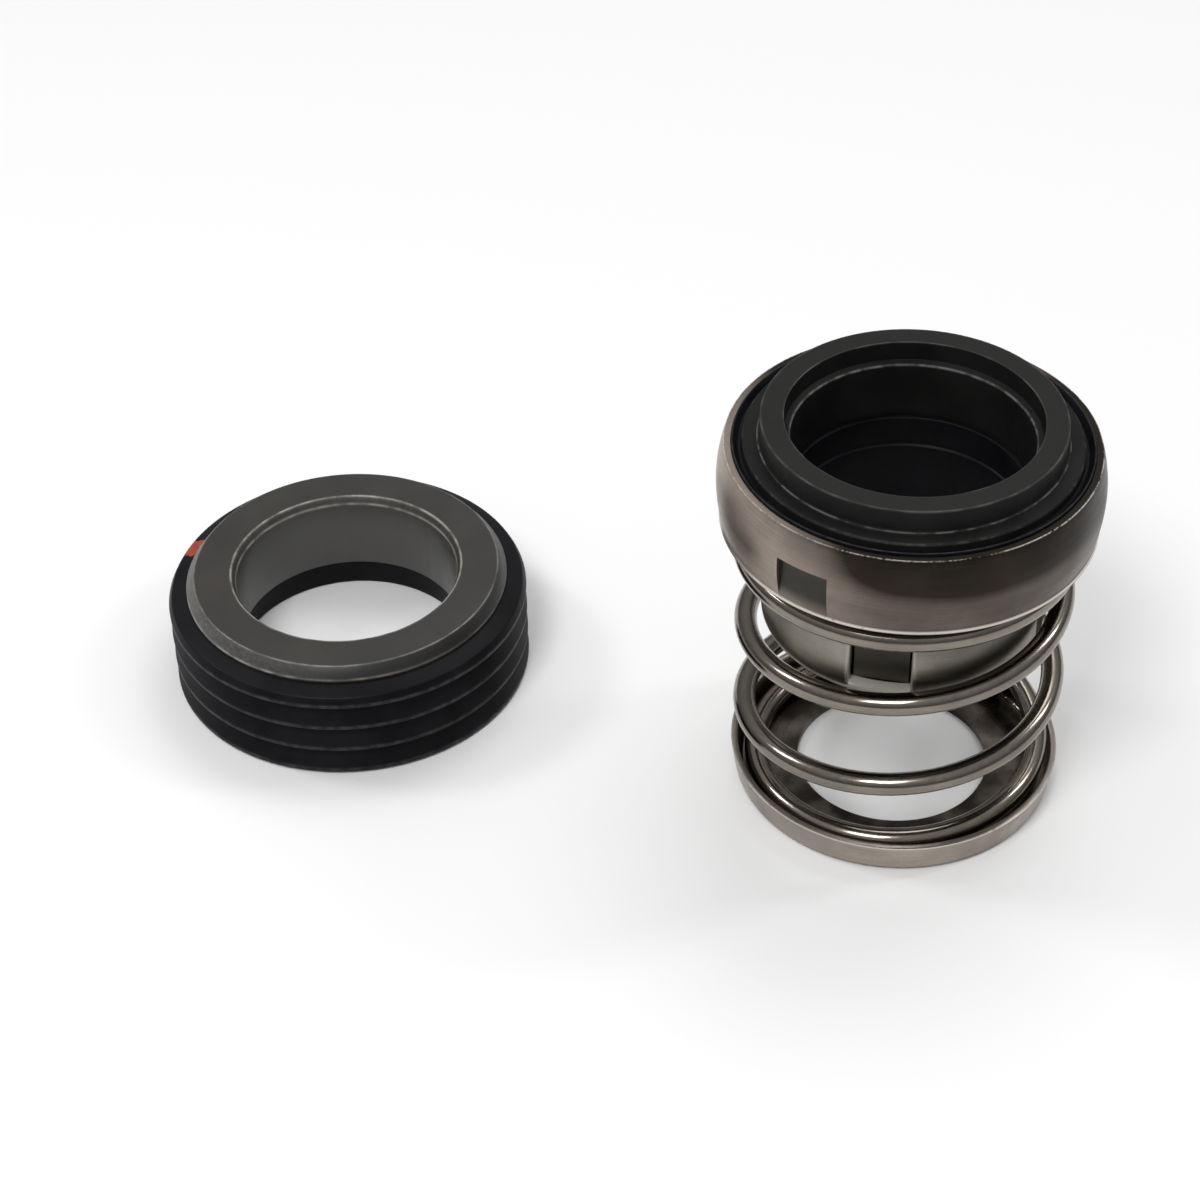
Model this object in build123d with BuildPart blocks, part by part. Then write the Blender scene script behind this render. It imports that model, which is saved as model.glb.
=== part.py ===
from build123d import *
from math import cos, degrees, radians, sin
import os

os.makedirs("parts", exist_ok=True)

# Component mechanical seal with a rubber bellows, for a 22 mm shaft.
# Millimetres, +Z up along the shaft. The origin is the centre of the spring holder's bore, at its underside.
# The rotary head stands on its spring holder. The stationary seat lies beside it, lapped face up.

# ------------------------------------------------------------------ driving sizes
SHAFT_R = 11.0                 # shaft that the seal is made for
SHEET = 0.8                    # thickness of the pressed steel pieces

# Clearances
HOLDER_SHAFT_GAP = 1.1         # spring holder's bore round the shaft
RING_SHAFT_GAP = 3.4           # carbon ring's bore round the shaft
TAB_TAIL_GAP = 0.1             # retainer tabs outside the bellows' tail
TAB_BAND_GAP = 0.1             # drive band's wall outside the tabs
TAB_SILL_GAP = 0.15            # tab ends above the slots' sills
BAND_TAIL_GAP = 0.2            # drive band round the bellows' tail
COIL_BAND_GAP = 0.4            # spring coils outside the drive band
COIL_HOLDER_GAP = 0.3          # first coil inside the foot of the spring holder's wall
REST_GAP = 0.1                 # between faces that rest on each other and can part
RUBBER_GAP = 0.05              # round the pieces that sit in rubber

# Bellows
TAIL_WALL = 3.7                # rubber round the shaft
TAIL_PROUD = 0.7               # tail below the drive band's floor
SPIGOT_WALL = 1.2              # tail where it passes the drive band's floor
TAIL_LENGTH = 5.0              # straight grip on the shaft
NECK_WALL = 1.1                # thin wall that flexes
NECK_LENGTH = 8.8
NECK_RAMP = 1.5                # from the grip out to the neck
NECK_STEP = 0.2                # from the neck out to the head's bore
HEAD_BORE_WALL = 0.5           # head's bore inside the carbon ring's bore
HEAD_FLOOR = 4.6               # rubber between the retainer's floor and the carbon ring
HEAD_WALL = 1.9                # rubber between the carbon ring and the retainer
LIP_RISE = 0.4                 # rubber lip above the retainer's rim
LIP_EDGE = 0.15                # bevel of the lip's outer edge
LIP_GROOVE = 0.8               # depth of the groove between the lip and the carbon ring
LIP_GROOVE_FLOOR = 0.4         # width of the groove's floor

# Drive band
BAND_WALL = 1.6
BAND_HEIGHT = 13.2
BAND_CORNER = 1.2              # outer bend between wall and floor
BAND_EDGE = 0.5                # rounding of the slots' outer edges
SLOT_WIDTH = 7.2

# Spring
WIRE_D = 2.8
COIL_PITCH = 13.0
ACTIVE_TURNS = 2.7
DEAD_TURNS = 0.75              # end coil past each end of the helix
FIRST_BLEND = 0.4              # turns over which the wire rises out of the first coil
LAST_BLEND = 0.35              # turns over which it settles into the last coil
FIRST_COIL_INSET = 1.6         # first coil is wound tighter, to sit in the holder
FIRST_GROWTH = (0.0, 0.34)     # turns over which the coil then widens
LAST_COIL_SWELL = 0.55         # last coil is wound wider, under the retainer's wall
LAST_GROWTH = (1.4, 3.0)
COIL_LEAVES_AT = -49.0         # degrees from +X, where the helix would leave the first coil
POINTS_PER_TURN = 16

# Spring holder
HOLDER_HEIGHT = 4.3
HOLDER_FLARE = 0.65            # rim out from the foot of the wall
HOLDER_CORNER = 1.1
HOLDER_RIM_ROUND = 0.3

# Retainer, heights above its floor's underside
BEAD_FOOT = 1.65               # bead at the foot of the wall
BEAD_HEIGHT = 0.5
BEAD_INSET = 0.15              # bead's edge in from the wall's waist
WALL_FOOT_INSET = 0.3          # wall above the bead, in from the waist
TOE_HEIGHT = 0.7               # underside's step between floor and bead
TOE_WIDTH = 0.7
WAIST_HEIGHT = 3.8
BELLY_HEIGHT = 7.8
BELLY_SWELL = 0.2              # belly out from the waist
SHOULDER_DROP = 1.7            # shoulder below the rim
SHOULDER_INSET = 0.15          # shoulder in from the waist
RIM_INSET = 0.6                # rim in from the waist
RIM_BELOW_RING = 0.7           # rim below the carbon ring's shoulder
COIL_OVERHANG = 0.4            # top coil past the flat of the floor
TAB_WIDTH = 6.6
TAB_COUNT = 4
TAB_ANGLE = -98.5              # degrees from +X, first tab
TAB_BEND = 0.6
DENT_WIDTH = 6.8
DENT_DEPTH = 0.75              # at the dent's head. Its foot runs out into the wall
DENT_HEAD = 7.8
DENT_COUNT = 2
DENT_ANGLE = -122.0

# Carbon ring
NOSE_STEP = 0.8                # nose's bore outside the ring's bore
NOSE_WIDTH = 2.8
NOSE_HEIGHT = 3.0
NOSE_BORE_DEPTH = 2.5
NOSE_BORE_RAMP = 0.3
RING_SHOULDER = 2.1
RING_LAND = 0.35               # raised land round the nose's foot
RING_LAND_HEIGHT = 0.25
RING_BODY_HEIGHT = 7.3
RING_EDGE = 0.25
NOTCH_CLEAR = 0.1              # dent key's play in the ring's notch, on each side

# Stationary seat
SEAT_X = -72.5
SEAT_Y = 15.0
SEAT_FACE_IN = 0.1             # seat's face inside the nose's bore
SEAT_FACE_OUT = 2.0            # seat's face outside the nose
SEAT_BEVEL_WIDTH = 1.1
SEAT_BEVEL_DROP = 1.5
SEAT_BORE_CHAMFER = 0.55
SEAT_BORE_CHAMFER_DROP = 1.0
SEAT_RING_HEIGHT = 11.1
SEAT_RIM_BAND = 0.5            # rim that stands clear of the rubber
SEAT_BODY_INSET = 1.1          # ring's body in from its rim
BOOT_FLOOR = 4.2               # rubber under the ring
BOOT_HOLE_STEP = 0.75          # boot's hole outside the ring's bore
BOOT_COLLAR = 2.05             # collar's top out from the ring's rim
BOOT_COLLAR_DROP = 0.7         # slope of the collar's top
BOOT_RIB_OUT = 2.5             # rib edges out from the ring's rim
BOOT_GROOVE = 1.3              # groove depth
RIB_COUNT = 4
RIB_PITCH = 3.6
RIB_LAND = 0.5                 # flat on each rib's edge
RIB_UNDERCUT = 0.35            # height of a rib's underside
FIRST_RIB_DROP = 3.6           # first rib's edge below the lapped face
BOOT_FOOT_INSET = 0.6          # boot's underside in from the ribs

# ------------------------------------------------------------------ sizes that follow
WIRE_R = WIRE_D / 2
TAIL_R = SHAFT_R + TAIL_WALL
TAB_INNER = TAIL_R + TAB_TAIL_GAP
TAB_OUTER = TAB_INNER + SHEET
BAND_INNER_R = TAB_OUTER + TAB_BAND_GAP
BAND_R = BAND_INNER_R + BAND_WALL
SPIGOT_R = SHAFT_R + SPIGOT_WALL
COIL_R = BAND_R + COIL_BAND_GAP + WIRE_R
FIRST_COIL_R = COIL_R - FIRST_COIL_INSET
LAST_COIL_R = COIL_R + LAST_COIL_SWELL
HOLDER_R = FIRST_COIL_R + WIRE_R + COIL_HOLDER_GAP + SHEET

WIRE_FLOOR_Z = SHEET + WIRE_R
FLANGE_Z = SHEET + WIRE_D + ACTIVE_TURNS * COIL_PITCH + REST_GAP
FLANGE_TOP_Z = FLANGE_Z + SHEET
BAND_TOP_Z = FLANGE_Z - REST_GAP
BAND_BOTTOM_Z = BAND_TOP_Z - BAND_HEIGHT
SILL_Z = BAND_BOTTOM_Z + BAND_WALL
TAIL_END_Z = BAND_BOTTOM_Z - TAIL_PROUD
RING_Z = FLANGE_TOP_Z + HEAD_FLOOR
RING_SHOULDER_Z = RING_Z + RING_BODY_HEIGHT
FACE_Z = RING_SHOULDER_Z + NOSE_HEIGHT
RIM_Z = RING_SHOULDER_Z - RIM_BELOW_RING

RING_BORE_R = SHAFT_R + RING_SHAFT_GAP
NOSE_BORE_R = RING_BORE_R + NOSE_STEP
NOSE_R = NOSE_BORE_R + NOSE_WIDTH
RING_R = NOSE_R + RING_SHOULDER
WAIST_R = RING_R + HEAD_WALL + SHEET
FLAT_R = LAST_COIL_R + WIRE_R - COIL_OVERHANG
BEAD_R = WAIST_R - BEAD_INSET
DENT_FOOT_R = WAIST_R - WALL_FOOT_INSET
DENT_FOOT_Z = FLANGE_Z + BEAD_FOOT + BEAD_HEIGHT
DENT_HEAD_R = WAIST_R + BELLY_SWELL - DENT_DEPTH
DENT_HEAD_Z = FLANGE_Z + DENT_HEAD
DENT_HALF_ANGLE = degrees(DENT_WIDTH / 2 / WAIST_R)
DENT_FLANK_ANGLE = degrees(SHEET / 2 / WAIST_R)
KEY_FACE = DENT_HEAD_R - SHEET - RUBBER_GAP
KEY_TOP_Z = DENT_HEAD_Z + SHEET + RUBBER_GAP

SEAT_FACE_BORE_R = NOSE_BORE_R - SEAT_FACE_IN
SEAT_FACE_R = NOSE_R + SEAT_FACE_OUT
SEAT_BORE_R = SEAT_FACE_BORE_R - SEAT_BORE_CHAMFER
SEAT_RIM_R = SEAT_FACE_R + SEAT_BEVEL_WIDTH
SEAT_BODY_R = SEAT_RIM_R - SEAT_BODY_INSET
SEAT_FACE_Z = BOOT_FLOOR + SEAT_RING_HEIGHT
SEAT_RIM_Z = SEAT_FACE_Z - SEAT_BEVEL_DROP
BOOT_TOP_Z = SEAT_RIM_Z - SEAT_RIM_BAND
RIB_R = SEAT_RIM_R + BOOT_RIB_OUT
GROOVE_R = RIB_R - BOOT_GROOVE


def radial_plane(angle):
    """Upright plane on the seal's axis: local x runs outward at this angle, local y runs up."""
    outward = Vector(cos(radians(angle)), sin(radians(angle)), 0)
    return Plane(origin=(0, 0, 0), x_dir=outward, z_dir=outward.cross(Vector(0, 0, 1)))


def axis_distance(edge):
    """How far the middle of an edge lies from the seal's axis."""
    return Vector(edge.center().X, edge.center().Y, 0).length


def spread(first, count):
    """Angles of features that are evenly spaced round the axis."""
    return [first + 360 / count * i for i in range(count)]


def shell_wall(inset):
    """Points up the retainer's barrelled wall, from bead to rim, moved in by a distance."""
    return [
        (DENT_FOOT_R - inset, DENT_FOOT_Z),
        (WAIST_R - inset, FLANGE_Z + WAIST_HEIGHT),
        (WAIST_R + BELLY_SWELL - inset, FLANGE_Z + BELLY_HEIGHT),
        (WAIST_R - SHOULDER_INSET - inset, RIM_Z - SHOULDER_DROP),
        (WAIST_R - RIM_INSET - inset, RIM_Z),
    ]


def soft_ramp(turn, blend):
    """Turns climbed: none before turn 0 and one for one after it, with a rounded corner."""
    if turn <= -blend:
        return 0
    if turn >= blend:
        return turn
    return (turn + blend) ** 2 / (4 * blend)


def soft_step(turn, window):
    """Runs from 0 to 1 over a window of turns, level at both ends."""
    share = min(max((turn - window[0]) / (window[1] - window[0]), 0), 1)
    return share * share * (3 - 2 * share)


def coil_point(turn):
    """Point on the spring's centre line. Turn 0 is where the helix would leave the first coil."""
    radius = FIRST_COIL_R + FIRST_COIL_INSET * soft_step(turn, FIRST_GROWTH)
    radius += LAST_COIL_SWELL * soft_step(turn, LAST_GROWTH)
    angle = radians(COIL_LEAVES_AT + 360 * turn)
    climb = soft_ramp(turn, FIRST_BLEND) - soft_ramp(turn - ACTIVE_TURNS, LAST_BLEND)
    return (radius * cos(angle), radius * sin(angle), WIRE_FLOOR_Z + COIL_PITCH * climb)


# ------------------------------------------------------------------ spring holder
# Ring cup pressed from sheet: a flat floor round the shaft and a short flared wall round the first coil.
with BuildPart() as spring_holder:
    with BuildSketch(Plane.XZ):
        with BuildLine():
            FilletPolyline(
                (SHAFT_R + HOLDER_SHAFT_GAP, 0),
                (HOLDER_R, 0),
                (HOLDER_R + HOLDER_FLARE, HOLDER_HEIGHT),
                radius=HOLDER_CORNER,
            )
            offset(amount=SHEET, side=Side.LEFT)
        make_face()
    revolve(axis=Axis.Z)
    rim = spring_holder.edges().group_by(Axis.Z)[-1]
    fillet(rim, HOLDER_RIM_ROUND)

spring_holder.part.label = "spring_holder"
export_step(spring_holder.part, "parts/spring_holder.step")

# ------------------------------------------------------------------ spring
# One wire: a flat coil in the holder, an open helix, and a flat coil under the retainer's floor.
with BuildPart() as spring:
    total_turns = 2 * DEAD_TURNS + ACTIVE_TURNS
    steps = round(total_turns * POINTS_PER_TURN)
    with BuildLine() as wire_path:
        Spline([coil_point(total_turns * i / steps - DEAD_TURNS) for i in range(steps + 1)])
    with BuildSketch(Plane(origin=wire_path.line @ 0, z_dir=wire_path.line % 0)):
        Circle(WIRE_R)
    sweep(path=wire_path.line, is_frenet=True)

spring.part.label = "spring"
export_step(spring.part, "parts/spring.step")

# ------------------------------------------------------------------ drive band
# Pressed cup round the bellows' tail. Four slots run down from its top edge to the level of its floor.
with BuildPart() as drive_band:
    with BuildSketch(Plane.XZ):
        with BuildLine():
            FilletPolyline(
                (SPIGOT_R + BAND_TAIL_GAP, BAND_BOTTOM_Z),
                (BAND_R, BAND_BOTTOM_Z),
                (BAND_R, BAND_TOP_Z),
                radius=BAND_CORNER,
            )
            Polyline(
                (BAND_R, BAND_TOP_Z),
                (BAND_INNER_R, BAND_TOP_Z),
                (BAND_INNER_R, SILL_Z),
                (SPIGOT_R + BAND_TAIL_GAP, SILL_Z),
                (SPIGOT_R + BAND_TAIL_GAP, BAND_BOTTOM_Z),
            )
        make_face()
    revolve(axis=Axis.Z)
    for angle in spread(TAB_ANGLE, TAB_COUNT):
        with BuildSketch(radial_plane(angle)):
            with Locations((TAIL_R, SILL_Z)):
                Rectangle(BAND_R, BAND_HEIGHT, align=(Align.MIN, Align.MIN))
        extrude(amount=SLOT_WIDTH / 2, both=True, mode=Mode.SUBTRACT)
    cut_edges = [edge for edge in drive_band.edges() if edge.geom_type != GeomType.CIRCLE]
    outer_edges = [edge for edge in cut_edges if axis_distance(edge) > BAND_INNER_R + BAND_WALL / 2]
    fillet([edge for edge in outer_edges if edge.center().Z < BAND_TOP_Z - SHEET], BAND_EDGE)

drive_band.part.label = "drive_band"
export_step(drive_band.part, "parts/drive_band.step")

# ------------------------------------------------------------------ retainer
# Pressed shell: a floor on the spring, a barrelled wall with a rolled rim, four tabs and two dents.
with BuildPart() as retainer:
    tab_root_r = TAB_OUTER + TAB_BEND
    with BuildSketch(Plane.XZ):
        with BuildLine():
            outer = shell_wall(0)
            inner = shell_wall(SHEET)
            Polyline(
                (tab_root_r, FLANGE_TOP_Z),
                (tab_root_r, FLANGE_Z),
                (FLAT_R, FLANGE_Z),
                (FLAT_R + TOE_WIDTH, FLANGE_Z + TOE_HEIGHT),
                (BEAD_R, FLANGE_Z + BEAD_FOOT),
                outer[0],
            )
            Spline(outer)
            Line(outer[-1], inner[-1])
            Spline(inner[1:])
            Polyline(inner[1], (FLAT_R, FLANGE_TOP_Z), (tab_root_r, FLANGE_TOP_Z))
        make_face()
    revolve(axis=Axis.Z)
    for angle in spread(TAB_ANGLE, TAB_COUNT):
        with BuildSketch(radial_plane(angle)):
            with BuildLine():
                FilletPolyline(
                    (tab_root_r + SHEET, FLANGE_Z),
                    (TAB_OUTER, FLANGE_Z),
                    (TAB_OUTER, SILL_Z + TAB_SILL_GAP),
                    radius=TAB_BEND,
                )
                offset(amount=SHEET, side=Side.RIGHT)
            make_face()
        extrude(amount=TAB_WIDTH / 2, both=True)
    for angle in spread(DENT_ANGLE, DENT_COUNT):
        with BuildSketch(radial_plane(angle - DENT_HALF_ANGLE - DENT_FLANK_ANGLE)):
            with BuildLine():
                Polyline(
                    (DENT_FOOT_R - SHEET, DENT_FOOT_Z),
                    (DENT_FOOT_R - SHEET / 2, DENT_FOOT_Z),
                    (WAIST_R - SHEET / 2, DENT_HEAD_Z + SHEET),
                    (DENT_HEAD_R - SHEET, DENT_HEAD_Z + SHEET),
                    (DENT_HEAD_R - SHEET, DENT_HEAD_Z),
                    (DENT_FOOT_R - SHEET, DENT_FOOT_Z),
                )
            make_face()
        revolve(axis=Axis.Z, revolution_arc=2 * (DENT_HALF_ANGLE + DENT_FLANK_ANGLE))
        with BuildSketch(radial_plane(angle - DENT_HALF_ANGLE)):
            with BuildLine():
                Polyline(
                    (DENT_FOOT_R, DENT_FOOT_Z),
                    (WAIST_R + SHEET, DENT_FOOT_Z),
                    (WAIST_R + SHEET, DENT_HEAD_Z),
                    (DENT_HEAD_R, DENT_HEAD_Z),
                    (DENT_FOOT_R, DENT_FOOT_Z),
                )
            make_face()
        revolve(axis=Axis.Z, revolution_arc=2 * DENT_HALF_ANGLE, mode=Mode.SUBTRACT)

retainer.part.label = "retainer"
export_step(retainer.part, "parts/retainer.step")

# ------------------------------------------------------------------ bellows
# Moulded rubber: a tail on the shaft, a thin neck that flexes and a thick head round the carbon ring.
with BuildPart() as bellows:
    with BuildSketch(Plane.XZ):
        with BuildLine():
            seat_wall = shell_wall(SHEET + RUBBER_GAP)
            lip_z = RIM_Z + LIP_RISE
            lip_r = seat_wall[-1][0]
            pocket_r = RING_R + RUBBER_GAP
            head_bore_r = RING_BORE_R - HEAD_BORE_WALL
            neck_r = TAIL_R - NECK_WALL
            grip_top_z = TAIL_END_Z + TAIL_LENGTH
            neck_z = grip_top_z + NECK_RAMP
            Polyline(
                (SHAFT_R, TAIL_END_Z),
                (SPIGOT_R, TAIL_END_Z),
                (SPIGOT_R, SILL_Z + REST_GAP),
                (TAIL_R, SILL_Z + REST_GAP),
                (TAIL_R, FLANGE_TOP_Z + RUBBER_GAP),
                (FLAT_R, FLANGE_TOP_Z + RUBBER_GAP),
                seat_wall[1],
            )
            Spline(seat_wall[1:])
            Polyline(
                seat_wall[-1],
                (lip_r, lip_z - LIP_EDGE),
                (lip_r - LIP_EDGE, lip_z),
                (pocket_r + LIP_GROOVE_FLOOR, lip_z - LIP_GROOVE),
                (pocket_r, lip_z - LIP_GROOVE),
                (pocket_r, RING_Z),
                (head_bore_r, RING_Z),
                (head_bore_r, neck_z + NECK_LENGTH + NECK_STEP),
                (neck_r, neck_z + NECK_LENGTH),
                (neck_r, neck_z),
                (SHAFT_R, grip_top_z),
                (SHAFT_R, TAIL_END_Z),
            )
        make_face()
    revolve(axis=Axis.Z)
    for angle in spread(DENT_ANGLE, DENT_COUNT):
        with BuildSketch(radial_plane(angle)):
            with Locations((KEY_FACE - HEAD_WALL, RING_Z)):
                Rectangle(HEAD_WALL, KEY_TOP_Z - RING_Z, align=(Align.MIN, Align.MIN))
        extrude(amount=DENT_WIDTH / 2, both=True)
        cut_half_angle = DENT_HALF_ANGLE + 2 * DENT_FLANK_ANGLE
        with BuildSketch(radial_plane(angle - cut_half_angle)):
            with Locations((KEY_FACE, FLANGE_Z)):
                Rectangle(WAIST_R, KEY_TOP_Z - FLANGE_Z, align=(Align.MIN, Align.MIN))
        revolve(axis=Axis.Z, revolution_arc=2 * cut_half_angle, mode=Mode.SUBTRACT)

bellows.part.label = "bellows"
export_step(bellows.part, "parts/bellows.step")

# ------------------------------------------------------------------ primary ring
# Turned carbon ring: a body in the bellows' head and a lapped nose, with a notch for each dent's key.
with BuildPart() as primary_ring:
    with BuildSketch(Plane.XZ):
        with BuildLine():
            Polyline(
                (RING_BORE_R, RING_Z),
                (RING_R - RING_EDGE, RING_Z),
                (RING_R, RING_Z + RING_EDGE),
                (RING_R, RING_SHOULDER_Z - RING_EDGE),
                (RING_R - RING_EDGE, RING_SHOULDER_Z),
                (NOSE_R + RING_LAND, RING_SHOULDER_Z),
                (NOSE_R + RING_LAND, RING_SHOULDER_Z + RING_LAND_HEIGHT),
                (NOSE_R, RING_SHOULDER_Z + RING_LAND_HEIGHT),
                (NOSE_R, FACE_Z),
                (NOSE_BORE_R, FACE_Z),
                (NOSE_BORE_R, FACE_Z - NOSE_BORE_DEPTH),
                (RING_BORE_R, FACE_Z - NOSE_BORE_DEPTH - NOSE_BORE_RAMP),
                (RING_BORE_R, RING_Z),
            )
        make_face()
    revolve(axis=Axis.Z)
    for angle in spread(DENT_ANGLE, DENT_COUNT):
        notch_height = KEY_TOP_Z - RING_Z + NOTCH_CLEAR
        with BuildSketch(radial_plane(angle)):
            with Locations((KEY_FACE - HEAD_WALL - NOTCH_CLEAR, RING_Z)):
                Rectangle(RING_R, notch_height, align=(Align.MIN, Align.MIN))
        extrude(amount=DENT_WIDTH / 2 + NOTCH_CLEAR, both=True, mode=Mode.SUBTRACT)

primary_ring.part.label = "primary_ring"
export_step(primary_ring.part, "parts/primary_ring.step")

# ------------------------------------------------------------------ mating ring
# Turned seat ring: lapped face up, a bevelled rim, and a narrower body inside its rubber boot.
seat_axis = Axis((SEAT_X, SEAT_Y, 0), (0, 0, 1))
seat_plane = Plane(origin=(SEAT_X, SEAT_Y, 0), x_dir=(1, 0, 0), z_dir=(0, -1, 0))

with BuildPart() as mating_ring:
    with BuildSketch(seat_plane):
        with BuildLine():
            Polyline(
                (SEAT_BORE_R, BOOT_FLOOR),
                (SEAT_BODY_R, BOOT_FLOOR),
                (SEAT_BODY_R, BOOT_TOP_Z),
                (SEAT_RIM_R, BOOT_TOP_Z),
                (SEAT_RIM_R, SEAT_RIM_Z),
                (SEAT_FACE_R, SEAT_FACE_Z),
                (SEAT_FACE_BORE_R, SEAT_FACE_Z),
                (SEAT_BORE_R, SEAT_FACE_Z - SEAT_BORE_CHAMFER_DROP),
                (SEAT_BORE_R, BOOT_FLOOR),
            )
        make_face()
    revolve(axis=seat_axis)

mating_ring.part.label = "mating_ring"
export_step(mating_ring.part, "parts/mating_ring.step")

# ------------------------------------------------------------------ seat boot
# Moulded rubber cup round the mating ring, with sharp ribs that grip the housing.
with BuildPart() as seat_boot:
    with BuildSketch(seat_plane):
        with BuildLine():
            hole_r = SEAT_BORE_R + BOOT_HOLE_STEP
            collar_r = SEAT_RIM_R + BOOT_COLLAR
            outline = [
                (hole_r, 0),
                (hole_r, BOOT_FLOOR),
                (SEAT_BODY_R, BOOT_FLOOR),
                (SEAT_BODY_R, BOOT_TOP_Z),
                (SEAT_RIM_R, BOOT_TOP_Z),
                (collar_r, BOOT_TOP_Z - BOOT_COLLAR_DROP),
            ]
            for i in range(RIB_COUNT):
                rib_z = SEAT_FACE_Z - FIRST_RIB_DROP - RIB_PITCH * i
                outline.append((RIB_R, rib_z))
                outline.append((RIB_R, rib_z - RIB_LAND))
                if i < RIB_COUNT - 1:
                    outline.append((GROOVE_R, rib_z - RIB_LAND - RIB_UNDERCUT))
            outline.append((RIB_R - BOOT_FOOT_INSET, 0))
            Polyline(outline, close=True)
        make_face()
    revolve(axis=seat_axis)

seat_boot.part.label = "seat_boot"
export_step(seat_boot.part, "parts/seat_boot.step")
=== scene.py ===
"""Component mechanical seal: finer meshes for its spring and rubber, materials, camera, floor and light."""

import math

import bpy
import numpy as np
from mathutils import Matrix, Vector


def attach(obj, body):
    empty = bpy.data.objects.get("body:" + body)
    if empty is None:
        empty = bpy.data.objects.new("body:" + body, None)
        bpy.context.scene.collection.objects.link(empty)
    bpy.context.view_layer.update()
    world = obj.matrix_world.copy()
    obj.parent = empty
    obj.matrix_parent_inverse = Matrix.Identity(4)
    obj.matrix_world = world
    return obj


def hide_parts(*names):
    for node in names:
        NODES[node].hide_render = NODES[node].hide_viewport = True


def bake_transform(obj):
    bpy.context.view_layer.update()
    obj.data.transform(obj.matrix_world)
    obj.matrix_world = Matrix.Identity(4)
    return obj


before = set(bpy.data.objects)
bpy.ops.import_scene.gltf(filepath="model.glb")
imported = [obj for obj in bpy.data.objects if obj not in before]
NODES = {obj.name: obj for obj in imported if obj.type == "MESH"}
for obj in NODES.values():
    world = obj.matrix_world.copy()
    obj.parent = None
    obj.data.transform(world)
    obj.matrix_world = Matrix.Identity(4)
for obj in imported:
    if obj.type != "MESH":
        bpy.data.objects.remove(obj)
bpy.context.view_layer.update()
MM = 0.001

# ------------------------------------------------------------------ sizes of the solids, in millimetres
# Shaft and pressed sheet
SHAFT_R = 11.0
SHEET = 0.8

# Bellows, from its tail up to its head
TAIL_R = 14.7
TAIL_END_Z = 24.8
SPIGOT_R = 12.2
SPIGOT_TOP_Z = 27.2
GRIP_TOP_Z = 29.8
NECK_R = 13.6
NECK_Z = 31.3
NECK_TOP_Z = 40.1
HEAD_BORE_R = 13.9
FLAT_R = 20.65                 # end of the head's flat underside
POCKET_R = 20.15               # pocket that takes the carbon ring
LIP_Z = 51.2
LIP_GROOVE = 0.8               # depth of the groove between lip and carbon ring
LIP_GROOVE_FLOOR = 0.4         # its width
RUBBER_GAP = 0.05              # round the pieces that sit in rubber

# Carbon ring
RING_Z = 44.2
RING_R = 20.1
RING_SHOULDER_Z = 51.5
RING_BORE_R = 14.4
RING_BORE_TOP_Z = 51.7
RING_LAND_R = 18.35            # low land round the nose's foot
RING_LAND_Z = 51.75
NOSE_R = 18.0
NOSE_BORE_R = 15.2
FACE_Z = 54.5

# Spring holder
HOLDER_R = 20.0
HOLDER_RIM_Z = 4.3

# Retainer
FLANGE_Z = 38.8
FLANGE_TOP_Z = FLANGE_Z + SHEET
BEAD_R = 22.65
BEAD_Z = 40.65
WAIST_R = 22.8
WAIST_Z = 42.6
WALL_R = WAIST_R - SHEET       # inside of its wall
BELLY_Z = 46.6
SHOULDER_Z = 49.1
RIM_R = 22.2
RIM_Z = 50.8

# Drive band and its slots
BAND_INNER_R = 15.7
BAND_BEND_Z = 26.5             # near the top of its bottom bend
SILL_Z = 27.1
SLOT_WIDTH = 7.2
TAB_ANGLE = -98.5
TAB_COUNT = 4

# Dents in the retainer, and the rubber keys behind them
DENT_ANGLES = (-122.0, 58.0)
DENT_WIDTH = 6.8
DENT_FOOT_Z = 40.95
DENT_HEAD_Z = 46.6
KEY_FACE_R = 21.38
KEY_BACK_R = 19.52
KEY_TOP_Z = 47.43
KEY_STEP = 0.05                # height in which a key ends
ROOM_MARGIN = 2.6              # degrees by which the room behind a dent is wider than it, each side
KEY_MARGIN = -0.6              # degrees by which a key is narrower, so below zero

# Spring
WIRE_R = 1.4
WIRE_END_ROUND = 0.25
COIL_PITCH = 13.0
ACTIVE_TURNS = 2.7
DEAD_TURNS = 0.75
FIRST_BLEND = 0.4
LAST_BLEND = 0.35
FIRST_COIL_R = 17.5
FIRST_COIL_INSET = 1.6
FIRST_GROWTH = (0.0, 0.34)
LAST_COIL_SWELL = 0.55
LAST_GROWTH = (1.4, 3.0)
COIL_LEAVES_AT = -49.0

# Stationary seat: its ring
SEAT_AXIS = (-72.5, 15.0)
SEAT_BORE_R = 14.55
SEAT_FACE_BORE_R = 15.1
SEAT_CHAMFER_Z = 14.3
SEAT_FACE_R = 20.0
SEAT_RIM_R = 21.1
SEAT_BODY_R = 20.0
SEAT_FACE_Z = 15.3
SEAT_RIM_Z = 13.8

# Stationary seat: its boot
BOOT_TOP_Z = 13.3
BOOT_FLOOR = 4.2
BOOT_HOLE_R = 15.3
COLLAR_R = 23.15
COLLAR_Z = 12.6
RIB_R = 23.6
GROOVE_R = 22.3
RIB_COUNT = 4
FIRST_RIB_Z = 11.7
RIB_PITCH = 3.6
RIB_LAND = 0.5
RIB_UNDERCUT = 0.35
BOOT_FOOT_INSET = 0.6

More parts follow.
